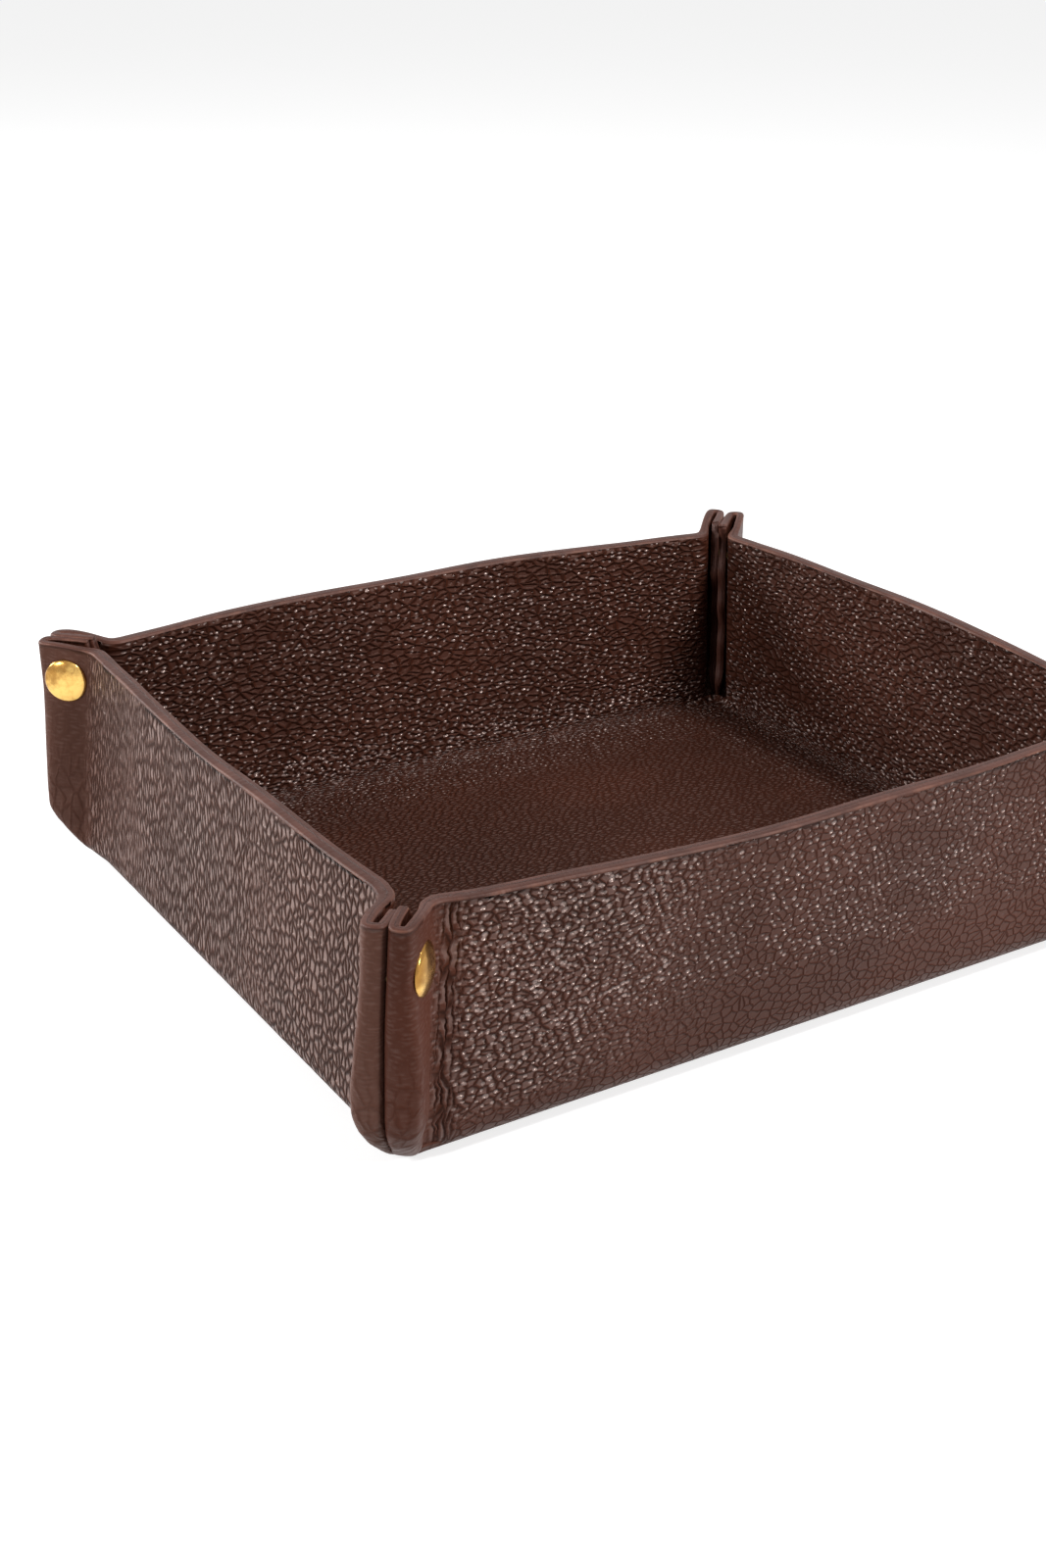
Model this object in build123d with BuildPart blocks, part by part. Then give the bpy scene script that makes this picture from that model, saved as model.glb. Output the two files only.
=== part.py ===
# Valet tray of firm leather with four fold-down walls held by press studs.
# Millimetres. The origin is the middle of the base's underside, X runs along
# the front wall, Y from the front to the back, and Z up.

import math
import os

from build123d import *

os.makedirs("parts", exist_ok=True)

# Tray, measured over the outer faces of its walls
tray_length = 200.0
tray_width = 172.0
wall_height = 56.0
skin_thickness = 1.8
lining_thickness = 1.8
base_bend_radius = 6.5

# Outward bow of each wall's top edge
front_bow = 7.5
right_bow = 6.0
back_bow = 9.0
left_bow = 2.5

# Fold line of a wall: its distance from the wall's outer face and from the underside
fold_inset = 2.8
fold_radius = 2.75
fold_clearance = 0.3

# Ears: the wall ends that turn out along the corner's diagonal and fold back
ear_skin_thickness = 1.2
ear_lining_thickness = 1.2
ear_slit = 0.3
ear_half_gap = 0.8
ear_rise = 1.2
ear_reach = 15.0
ear_foot_reach = 9.6
ear_foot_clearance = 0.45
ear_foot_drop = 2.8
ear_foot_slope_share = 0.8
ear_leaf_start = 0.6
ear_turn = 45.0
crease_clearance = 0.3

# Press studs
stud_from_crease = 6.5
stud_below_top = 10.5
cap_radius = 5.5
cap_height = 1.8
cap_rim = 0.5
cap_foot_radius = 5.2
barrel_radius = 2.0
barrel_clearance = 0.1
snap_radius = 5.0
snap_clearance = 0.1
snap_gap = 0.1
socket_bore_radius = 3.2
socket_floor = 0.3
knob_radius = 3.0
knob_neck_radius = 2.7
knob_height = 1.6
knob_rounding = 0.4
eyelet_radius = 4.2
eyelet_height = 0.6
eyelet_rounding = 0.3
eyelet_bore_radius = 1.2

# Derived sizes
leather = skin_thickness + lining_thickness
ear_top = wall_height + ear_rise
ear_leather = ear_skin_thickness + ear_lining_thickness
ear_depth = 2 * ear_leather + ear_slit
diagonal_depth = ear_depth + ear_half_gap
crease_from_corner = diagonal_depth / math.cos(math.radians(ear_turn))
fold_top = fold_inset + fold_radius
hinge_shift = leather / 2 * math.tan(math.radians(ear_turn / 2))
pocket_depth = ear_depth - ear_skin_thickness
snap_face = diagonal_depth - snap_gap
stud_height = ear_top - stud_below_top
ear_foot_height = fold_top + ear_foot_clearance


def pan_block(inset):
    """Block inside the tray's faces, with rounded bottom and upright edges."""
    with BuildPart() as block:
        with Locations((0, 0, inset)):
            Box(
                tray_length - 2 * inset,
                tray_width - 2 * inset,
                wall_height,
                align=(Align.CENTER, Align.CENTER, Align.MIN),
            )
        upright = block.edges().filter_by(Axis.Z)
        lower = block.edges().group_by(Axis.Z)[0]
        fillet(upright + lower, base_bend_radius - inset)
    return block.part


def fold_block():
    """Block that ends the base's rim just short of the walls."""
    inset = fold_inset - fold_radius
    with BuildPart() as block:
        Box(
            tray_length - 2 * inset,
            tray_width - 2 * inset,
            fold_top,
            align=(Align.CENTER, Align.CENTER, Align.MIN),
        )
        fillet(block.edges().filter_by(Axis.Z), base_bend_radius - inset)
        fillet(block.edges().group_by(Axis.Z)[-1], fold_radius)
    return block.part


def base_leaf(near, far):
    """Leaf of the base between two depths below the tray's outer faces."""
    with BuildPart() as leaf:
        add(pan_block(near))
        add(fold_block(), mode=Mode.INTERSECT)
        add(pan_block(far), mode=Mode.SUBTRACT)
    return leaf.part


def wall_leaf(half_length, reach, bow, near, far):
    """Leaf of the front-facing wall between two depths behind its outer face."""
    end = half_length - crease_from_corner + hinge_shift
    with BuildPart() as leaf:
        with BuildSketch(Plane.XY.offset(fold_inset)):
            with BuildLine():
                Polyline(
                    (-end, near - reach),
                    (end, near - reach),
                    (end, far - reach),
                    (-end, far - reach),
                    close=True,
                )
            make_face()
        with BuildSketch(Plane.XY.offset(wall_height)):
            with BuildLine():
                ThreePointArc((-end, near - reach), (0, near - reach - bow), (end, near - reach))
                Line((end, near - reach), (end, far - reach))
                ThreePointArc((end, far - reach), (0, far - reach - bow), (-end, far - reach))
                Line((-end, far - reach), (-end, near - reach))
            make_face()
        loft(ruled=True)
        for side in (-1, 1):
            with BuildSketch(Plane.XY.offset(fold_inset)):
                with Locations((side * end, leather / 2 - reach)):
                    Circle(leather / 2)
                with Locations((side * (end + leather / 2), (near + far) / 2 - reach)):
                    Rectangle(leather, far - near, mode=Mode.INTERSECT)
            extrude(amount=wall_height - fold_inset)
        with BuildSketch(Plane.YZ):
            with Locations((fold_inset - reach, fold_inset)):
                Circle(fold_radius + fold_clearance)
        extrude(amount=half_length, both=True, mode=Mode.SUBTRACT)
    return leaf.part


def ear_section(tip, near, far):
    """Section of an ear's folded leaf, in the ear's own axes."""
    middle = ear_depth / 2
    bend = tip - middle
    with BuildSketch() as section:
        with BuildLine():
            Line((-hinge_shift, near), (bend, near))
            ThreePointArc((bend, near), (tip - near, middle), (bend, ear_depth - near))
            Line((bend, ear_depth - near), (ear_leaf_start, ear_depth - near))
            Line((ear_leaf_start, ear_depth - near), (ear_leaf_start, ear_depth - far))
            Line((ear_leaf_start, ear_depth - far), (bend, ear_depth - far))
            ThreePointArc((bend, ear_depth - far), (tip - far, middle), (bend, far))
            Line((bend, far), (-hinge_shift, far))
            Line((-hinge_shift, far), (-hinge_shift, near))
        make_face()
    return section.sketch


def ear_leaf(near, far, pocket):
    """Folded leaf of an ear; X runs along the ear and Y towards its neighbour."""
    with BuildPart() as leaf:
        with BuildSketch(Plane.XY.offset(ear_foot_height)):
            add(ear_section(ear_foot_reach, near, far))
        with BuildSketch(Plane.XY.offset(ear_top)):
            add(ear_section(ear_reach, near, far))
        loft(ruled=True)
        with BuildSketch(Plane.XY):
            with Locations((-hinge_shift, leather / 2)):
                Circle(leather / 2 + crease_clearance)
        extrude(amount=ear_top, mode=Mode.SUBTRACT)
        with BuildSketch(Plane.XZ):
            with BuildLine():
                Polyline(
                    (0, 0),
                    (0, ear_foot_height - ear_foot_drop),
                    (ear_reach, ear_foot_height - ear_foot_drop + ear_reach * ear_foot_slope_share),
                    (ear_reach, 0),
                    close=True,
                )
            make_face()
        extrude(amount=-diagonal_depth, mode=Mode.SUBTRACT)
        with BuildSketch(Plane.XZ):
            with Locations((stud_from_crease, stud_height)):
                Circle(barrel_radius + barrel_clearance)
        extrude(amount=-diagonal_depth, mode=Mode.SUBTRACT)
        if pocket:
            with BuildSketch(Plane.XZ.offset(-pocket_depth)):
                with Locations((stud_from_crease, stud_height)):
                    Circle(snap_radius + snap_clearance)
            extrude(amount=-ear_skin_thickness, mode=Mode.SUBTRACT)
    return leaf.part


def stud_piece(outline):
    """Round stud piece from its half outline of (radius, depth) points."""
    with BuildPart() as piece:
        with BuildSketch(Plane.XY):
            with BuildLine():
                Polyline(*outline, close=True)
            make_face()
        revolve(axis=Axis.Y)
    return piece.part.moved(Location((stud_from_crease, 0, stud_height)))


def stud_cap():
    """Domed cap with the barrel that goes through the ear to the socket."""
    with BuildPart() as piece:
        with BuildSketch(Plane.XY):
            with BuildLine():
                Line((0, pocket_depth), (0, -cap_height))
                TangentArc((0, -cap_height), (cap_radius, -cap_rim), tangent=(1, 0))
                Line((cap_radius, -cap_rim), (cap_foot_radius, 0))
                Line((cap_foot_radius, 0), (barrel_radius, 0))
                Line((barrel_radius, 0), (barrel_radius, pocket_depth))
                Line((barrel_radius, pocket_depth), (0, pocket_depth))
            make_face()
        revolve(axis=Axis.Y)
    return piece.part.moved(Location((stud_from_crease, 0, stud_height)))


ears = {
    "skin": ear_leaf(0, ear_skin_thickness, True),
    "lining": ear_leaf(ear_skin_thickness, ear_leather, False),
}

cap = stud_cap()

socket = stud_piece([
    (0, pocket_depth),
    (snap_radius, pocket_depth),
    (snap_radius, snap_face),
    (socket_bore_radius, snap_face),
    (socket_bore_radius, pocket_depth + socket_floor),
    (0, pocket_depth + socket_floor),
])

stud = stud_piece([
    (0, pocket_depth),
    (snap_radius, pocket_depth),
    (snap_radius, snap_face),
    (knob_neck_radius, snap_face),
    (knob_radius, snap_face + knob_height / 2),
    (knob_radius, snap_face + knob_height - knob_rounding),
    (knob_radius - knob_rounding, snap_face + knob_height),
    (0, snap_face + knob_height),
])

eyelet = stud_piece([
    (eyelet_bore_radius, pocket_depth),
    (barrel_radius, pocket_depth),
    (barrel_radius, 0),
    (eyelet_radius, 0),
    (eyelet_radius, eyelet_rounding - eyelet_height),
    (eyelet_radius - eyelet_rounding, -eyelet_height),
    (eyelet_bore_radius + eyelet_rounding, -eyelet_height),
    (eyelet_bore_radius, eyelet_rounding - eyelet_height),
])

# Base
with BuildPart() as base_skin:
    add(base_leaf(0, skin_thickness))
base_skin.part.label = "base_skin"
export_step(base_skin.part, "parts/base_skin.step")

with BuildPart() as base_lining:
    add(base_leaf(skin_thickness, leather))
base_lining.part.label = "base_lining"
export_step(base_lining.part, "parts/base_lining.step")

# Walls, each with the ear that has the cap and the ear that has the stud
walls = [
    ("front", 0, tray_length / 2, tray_width / 2, front_bow, "left", "right"),
    ("right", 90, tray_width / 2, tray_length / 2, right_bow, "front", "back"),
    ("back", 180, tray_length / 2, tray_width / 2, back_bow, "right", "left"),
    ("left", 270, tray_width / 2, tray_length / 2, left_bow, "back", "front"),
]

for wall, turn, half_length, reach, bow, cap_end, stud_end in walls:
    leaves = {"skin": (0, skin_thickness), "lining": (skin_thickness, leather)}
    for leaf, (near, far) in leaves.items():
        with BuildPart() as wall_piece:
            add(wall_leaf(half_length, reach, bow, near, far).rotate(Axis.Z, turn))
        wall_piece.part.label = f"{wall}_wall_{leaf}"
        export_step(wall_piece.part, f"parts/{wall}_wall_{leaf}.step")

    seat = Location((half_length - crease_from_corner, -reach, 0), (0, 0, -ear_turn))
    for end, mirrored, pieces in (
        (cap_end, True, {**ears, "cap": cap, "socket": socket}),
        (stud_end, False, {**ears, "stud": stud, "eyelet": eyelet}),
    ):
        for piece, shape in pieces.items():
            with BuildPart() as ear_piece:
                add(shape.moved(seat))
                if mirrored:
                    mirror(about=Plane.YZ, mode=Mode.REPLACE)
                add(ear_piece.part.rotate(Axis.Z, turn), mode=Mode.REPLACE)
            ear_piece.part.label = f"{wall}_{end}_{piece}"
            export_step(ear_piece.part, f"parts/{wall}_{end}_{piece}.step")
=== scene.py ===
import math

import bpy
import numpy as np
from mathutils import Matrix, Vector


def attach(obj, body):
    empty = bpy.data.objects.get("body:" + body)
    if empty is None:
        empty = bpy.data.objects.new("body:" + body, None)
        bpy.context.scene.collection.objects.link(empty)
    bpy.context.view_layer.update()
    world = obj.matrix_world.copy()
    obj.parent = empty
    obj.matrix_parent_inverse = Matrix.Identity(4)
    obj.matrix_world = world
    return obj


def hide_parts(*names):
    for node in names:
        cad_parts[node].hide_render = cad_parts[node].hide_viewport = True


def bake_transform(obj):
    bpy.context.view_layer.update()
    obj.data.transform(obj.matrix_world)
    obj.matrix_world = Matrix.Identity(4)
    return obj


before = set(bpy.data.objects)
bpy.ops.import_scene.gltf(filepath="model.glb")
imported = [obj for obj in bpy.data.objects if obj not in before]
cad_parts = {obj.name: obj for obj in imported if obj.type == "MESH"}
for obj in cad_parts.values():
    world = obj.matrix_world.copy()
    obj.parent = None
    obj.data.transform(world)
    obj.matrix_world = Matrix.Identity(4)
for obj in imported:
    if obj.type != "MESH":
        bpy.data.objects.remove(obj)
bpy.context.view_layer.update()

MM = 0.001

# Tray sizes in millimetres, as in the solids
LENGTH = 200.0
WIDTH = 172.0
HEIGHT = 56.0
LEATHER = 3.6
BEND = 6.5
FOLD_INSET = 2.8
EAR_LEATHER = 2.2
# Depth of a folded ear across the corner's diagonal, and its crease's distance from the corner
DIAGONAL = 5.9
CREASE = DIAGONAL * math.sqrt(2)
DIAGONAL_SHARE = 0.7071

# Where the pieces join: an ear piece starts this far before its crease, and a wall piece starts
# this far in from its outer face
SEAM = 8.0
STRIP = 14.5
# Distance along base and wall to the start and end points of a wall piece's fold; the piece is not bent
# here
FOLD_BLEND = 7.5
# Height of an ear's lowest row, and how far below the top edge the last plain row lies
EAR_FOOT = 1.7
LAST_ROW = 0.6
# Where a wall's bend into its ear begins and ends: before and after the crease, and outwards
CREASE_BEFORE, CREASE_AFTER, CREASE_OUT = 2.5, 2.2, 1.4
MID_Z = 30
# Rounding of the cut edges, and its steps: shares of the radius across and down
WALL_EDGE = 0.7
EAR_EDGE = 0.6
ROUNDING = ((0.0, 1.0), (0.13, 0.5), (0.5, 0.13), (1.0, 0.0))

# Mesh steps: along a wall, round its bend, up it, along its strip of the base, over the base, and
# in the close lower and wider upper rows of an ear, with the share of its height that is close
WALL_STEPS, BEND_STEPS, RISE_STEPS, STRIP_STEPS = 150, 9, 40, 5
BASE_STEPS = (90, 76)
LOW_ROWS, HIGH_ROWS = 26, 44
LOW_PART = 0.26
# Offset that keeps the grain of a sheet's two sides apart
SIDE_GAP = 50.0

# Material slots of a leather piece
OUTSIDE, INSIDE, CUT = 0, 1, 2

# Studs: distance from the ear's crease, height, and how far a corner's studs sit above or below it
STUD_S = 6.5
STUD_Z = 46.7
STUD_LIFT = {frozenset(("front", "left")): -1.3, frozenset(("left", "back")): 1.2}
# How far the pieces are pressed into the ear's outer face, and so stand out of its inner face
STUD_SHIFT = 0.5
# Caps, with their outline: radius and height over the ear, in shares of the radius and height
CAP_RADIUS = 5.5
CAP_HEIGHT = 1.8
CAP_TURNS = 72
CAP_OUTLINE = [
    (0.0, 1.0), (0.15, 0.99), (0.32, 0.945), (0.48, 0.87), (0.62, 0.775), (0.74, 0.665),
    (0.84, 0.55), (0.91, 0.44), (0.96, 0.33), (0.99, 0.20), (1.0, 0.05), (0.985, -0.06),
    (0.95, -0.10), (0.4, -0.10), (0.36, -0.10), (0.36, -1.1),
]

# Pull of the closed studs on the wall tops: x narrows, and all lean a little
TAPER_X = 0.025
LEAN_X = 0.9
LEAN_Y = -0.5

# Wall: turn, half length, reach, bow, end with the cap, end with the stud
WALLS = {
    "front": (0, LENGTH / 2, WIDTH / 2, 7.5, "left", "right"),
    "right": (90, WIDTH / 2, LENGTH / 2, 6.0, "front", "back"),
    "back": (180, LENGTH / 2, WIDTH / 2, 9.0, "right", "left"),
    "left": (270, WIDTH / 2, LENGTH / 2, 2.5, "back", "front"),
}

# An ear as it is plainly folded, and what hand folding changed in each: its top, how much longer
# it is there, how much more it bulges, how far its top and foot moved, how much shorter its
# return leaf is at the foot and the top, how uneven that leaf's cut is, and how far the foot is
# cut back and pinched in
PLAIN_EAR = {
    "top": 57.0, "longer": 0.0, "bulge": 0.0, "top_move": (0.0, 0.0), "foot_move": (0.0, 0.0),
    "short_foot": 0.0, "short_top": 0.0, "ragged": 1.0, "foot_cut": 0.0, "pinch": 1.0,
}
EARS = {
    ("front", "left"): {
        "top": 57.2, "bulge": 1.0, "top_move": (-1.6, 1.1), "foot_move": (-1.9, 1.3),
        "short_top": 4.2, "pinch": 0.4,
    },
    ("left", "front"): {
        "bulge": 0.3, "top_move": (-1.15, 0.65), "foot_move": (-1.4, 0.9),
        "short_top": 4.2, "pinch": 4.6,
    },
    ("left", "back"): {
        "top": 57.2, "top_move": (0.0, 1.7), "foot_move": (-0.8, 2.6),
        "short_top": 1.0, "foot_cut": 1.0,
    },
    ("back", "left"): {
        "top": 57.6, "top_move": (0.0, 0.2), "foot_move": (-0.3, 1.3),
        "short_top": 1.0, "foot_cut": 1.0,
    },
    ("back", "right"): {"top": 58.4, "longer": 3.0, "short_foot": 3.4, "short_top": 2.6},
    ("right", "back"): {
        "top": 58.1, "longer": 3.0, "short_foot": 0.8, "short_top": 0.4, "ragged": 2.2,
    },
}
for key, changes in EARS.items():
    EARS[key] = {**PLAIN_EAR, **changes}

# How far the line where two ears meet, a wall's top edge and the floor wave
WAVE = 0.25
TOP_WAVE = 0.25
FLOOR_WAVE = 0.25
# Air on each side of the line where two ears meet
EAR_GAP = 0.06
# The bow of a wall grows with this power of the height
BOW_POWER = 1.1


def lean(points):
    """Points in mm, moved as the closed studs pull the walls."""
    points = np.array(points, float)
    share = points[..., 2] / HEIGHT
    out = points.copy()
    out[..., 0] += share * (LEAN_X - TAPER_X * points[..., 0])
    out[..., 1] += share * LEAN_Y
    return out


def turned(points, degrees):
    """Points turned about Z."""
    c, s = round(math.cos(math.radians(degrees))), round(math.sin(math.radians(degrees)))
    out = np.array(points, float)
    x, y = out[..., 0].copy(), out[..., 1].copy()
    out[..., 0], out[..., 1] = c * x - s * y, s * x + c * y
    return out


def smooth(t):
    """Soft step: 0 up to t = 0, and 1 from t = 1."""
    t = np.clip(t, 0, 1)
    return t * t * (3 - 2 * t)


def bow_at(u, z, crease, bow):
    """Outward bow of a wall, and its slope along the wall."""
    rise = np.clip((z - FOLD_INSET) / (HEIGHT - FOLD_INSET), 0, 1) ** BOW_POWER
    share = np.clip(u / crease, -1, 1)
    return bow * (1 - share**2) * rise, -2 * bow * share / crease * rise


def bend_in(z):
    """How far the outer face stands back at the base's bend."""
    low = np.clip(BEND - z, 0, BEND)
    return BEND - np.sqrt(BEND**2 - low**2)


def bend_run(z):
    """Length along the outer face from the start of the base's bend up to a height."""
    low = np.clip((BEND - np.minimum(z, BEND)) / BEND, -1, 1)
    return BEND * np.arccos(low) + np.maximum(z - BEND, 0)


def ripple(u, z, seed):
    """Gentle waves of the leather, in mm."""
    return (
        0.22 * np.sin(u / 17.0 + seed) * np.sin(z / 19.0 + 1.3 * seed)
        + 0.12 * np.sin(u / 7.3 + 2.1 * seed + z / 23.0)
        + 0.08 * np.sin(z / 6.1 + 0.7 * seed + u / 31.0)
    )


def build(name, verts, faces, slots, materials, numbers=None, vectors=None):
    """Mesh object from points in mm, with a material slot for each face."""
    mesh = bpy.data.meshes.new(name)
    mesh.from_pydata([tuple(v) for v in np.array(verts) * MM], [], faces)
    for material in materials:
        mesh.materials.append(material)
    mesh.polygons.foreach_set("material_index", slots)
    mesh.polygons.foreach_set("use_smooth", [True] * len(faces))
    for key, values in (numbers or {}).items():
        layer = mesh.attributes.new(key, "FLOAT", "POINT")
        layer.data.foreach_set("value", np.array(values, np.float32).ravel())
    for key, values in (vectors or {}).items():
        layer = mesh.attributes.new(key, "FLOAT_VECTOR", "POINT")
        layer.data.foreach_set("vector", (np.array(values, np.float32) * MM).ravel())
    mesh.update()
    obj = bpy.data.objects.new(name, mesh)
    bpy.context.scene.collection.objects.link(obj)
    return obj


def sheet_vectors(degrees, reach, u, v, side):
    """Places on the flat sheet: seen from above, and along the wall."""
    seed = degrees * 3.0 + side * 17.0
    plan = turned(np.stack([u, BEND - reach - v, 0 * u + side * SIDE_GAP], -1), degrees)
    return {"plan": plan, "along": np.stack([u, v + seed, 0 * u], -1)}


def band(rows, cols, slots_by_col, gaps=()):
    """Faces between rows of closed loops of cols points, with no faces after the points in gaps."""
    faces, slots = [], []
    for i in range(rows - 1):
        for j in sorted(set(range(cols)) - set(gaps)):
            k = (j + 1) % cols
            faces.append((i * cols + j, i * cols + k, (i + 1) * cols + k, (i + 1) * cols + j))
            slots.append(slots_by_col[j])
    return faces, slots


def edge_steps(outer, inner, top, radius):
    """Points over a cut edge, from the outer face to the inner face."""
    d = inner - outer
    width = np.linalg.norm(d, axis=-1, keepdims=True)
    d = d / np.maximum(width, 1e-6)
    r = np.minimum(radius, 0.35 * width)
    points, across = [], []
    for share, drop in ROUNDING:
        p = outer + d * r * share
        points.append(np.concatenate([p, (top - r * drop)], -1))
        across.append(share * r / np.maximum(width, 1e-6))
    for share in (0.25, 0.5, 0.75):
        p = outer + d * (r + (width - 2 * r) * share)
        points.append(np.concatenate([p, top], -1))
        across.append((r + (width - 2 * r) * share) / np.maximum(width, 1e-6))
    for share, drop in ROUNDING[::-1]:
        p = inner - d * r * share
        points.append(np.concatenate([p, (top - r * drop)], -1))
        across.append(1 - share * r / np.maximum(width, 1e-6))
    return points, [a[..., 0] for a in across]


def wall_piece(wall, materials):
    """One wall with its bend and a strip of the base, between the two ear pieces."""
    degrees, half, reach, bow, _, _ = WALLS[wall]
    crease = half - CREASE
    seed = degrees / 50.0 + 0.4
    last_u = crease - SEAM
    u = np.linspace(-last_u, last_u, WALL_STEPS)
    arc = np.radians(np.linspace(0, 90, BEND_STEPS))
    z_up = np.linspace(BEND, HEIGHT - LAST_ROW, RISE_STEPS)[1:]
    flat = -np.linspace(STRIP, BEND, STRIP_STEPS)[:-1]

    inner_r = BEND - LEATHER
    outer_n = np.concatenate([flat, -BEND + BEND * np.sin(arc), 0 * z_up])
    outer_z = np.concatenate([np.zeros(len(flat)), BEND - BEND * np.cos(arc), z_up])
    inner_n = np.concatenate([flat, -BEND + inner_r * np.sin(arc), 0 * z_up - LEATHER])
    inner_z = np.concatenate([np.full(len(flat), LEATHER), BEND - inner_r * np.cos(arc), z_up])
    run = np.concatenate([BEND + flat, BEND * arc, bend_run(z_up)])
    run_top = float(bend_run(np.array(HEIGHT)))

    def place(n, z):
        """Points along the whole wall, from one point of its profile."""
        shift, _ = bow_at(u, z, crease, bow)
        fade = smooth((z - 4) / 12.0) * smooth((last_u - np.abs(u)) / 25.0)
        shift = shift + ripple(u, z, seed) * fade
        return np.stack([u, -reach - n - shift, 0 * u + z], -1)

    columns = [place(n, z) for n, z in zip(outer_n, outer_z)]
    across = [np.zeros(len(u)) for _ in columns]
    rise = [np.full(len(u), r) for r in run]
    slots = [OUTSIDE] * (len(columns) - 1)
    o = place(0.0, HEIGHT)[:, :2]
    i = place(-LEATHER, HEIGHT)[:, :2]
    wave = TOP_WAVE * np.sin(u / 13.0 + seed) * smooth((last_u - np.abs(u)) / 20.0)
    over, share = edge_steps(o, i, (HEIGHT + wave)[:, None], WALL_EDGE)
    slots += [OUTSIDE] + [CUT] * (len(over) - 1) + [INSIDE]
    columns += over
    across += share
    rise += [np.full(len(u), run_top)] * len(over)
    columns += [place(n, z) for n, z in zip(inner_n[::-1], inner_z[::-1])]
    across += [np.ones(len(u)) for _ in inner_n]
    rise += [np.full(len(u), r) for r in run[::-1]]
    slots += [INSIDE] * len(inner_n)
    grid = np.stack(columns, 1)
    rise = np.stack(rise, 1)
    across = np.stack(across, 1)
    verts = lean(turned(grid, degrees)).reshape(-1, 3)
    faces, face_slots = band(len(u), grid.shape[1], slots, gaps=[len(slots) - 1])
    vectors = sheet_vectors(degrees, reach, grid[..., 0], rise, np.round(across))
    numbers = {"across": across, "rise": rise, "ear": 0 * rise}
    obj = build(f"{wall}_wall_leather", verts, faces, face_slots, materials, numbers, vectors)
    start = turned([[0, -reach + FOLD_BLEND, 0]], degrees)[0] * MM
    end = turned([[0, -reach, FOLD_BLEND]], degrees)[0] * MM
    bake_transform(obj)
    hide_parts(f"{wall}_wall_skin", f"{wall}_wall_lining")


def spline_basis(count, samples):
    """Clamped cubic B-spline basis matrix."""
    degree = 3
    knots = np.concatenate([np.zeros(degree), np.linspace(0, 1, count - degree + 1), np.ones(degree)])
    t = np.linspace(0, 1 - 1e-9, samples)
    basis = np.zeros((samples, len(knots) - 1))
    for k in range(len(knots) - 1):
        basis[:, k] = (t >= knots[k]) & (t < knots[k + 1])
    for d in range(1, degree + 1):
        new = np.zeros((samples, len(knots) - 1 - d))
        for k in range(len(knots) - 1 - d):
            a = knots[k + d] - knots[k]
            b = knots[k + d + 1] - knots[k + 1]
            if a > 0:
                new[:, k] += (t - knots[k]) / a * basis[:, k]
            if b > 0:
                new[:, k] += (knots[k + d + 1] - t) / b * basis[:, k + 1]
        basis = new
    return basis


# How far an ear reaches from its crease at each height, how far it bulges, and how far from the
# crease its return leaf ends
REACH_Z = [0.0, 1.7, 2.6, 5.0, 7.6, 10.5, 13.7, 23.6, 34.0, 44.0, 51.0, 57.8]
REACH_S = [0.3, 2.2, 3.2, 5.2, 7.8, 9.6, 10.6, 11.5, 12.5, 13.3, 14.1, 14.8]
BULGE_Z = [0.0, 4.0, 12.0, 20.0, 30.0, 36.0, 45.0, 57.8]
BULGE_N = [0.0, 0.3, 1.1, 1.4, 0.9, 0.4, 0.0, 0.1]
LEAF_Z = [0.0, 8.0, 25.0, 40.0, 50.0, 57.8]
LEAF_S = [-1.4, -1.6, -1.2, -0.4, 1.0, 2.4]
EAR_SAMPLES = 84
BASIS = spline_basis(11, EAR_SAMPLES)


def ear_move(ear, z):
    """How far hand folding moved an ear at a height, in x and y."""
    height = smooth((z - 3) / 50.0)
    return np.array(ear["foot_move"]) * (1 - height) + np.array(ear["top_move"]) * height


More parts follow.
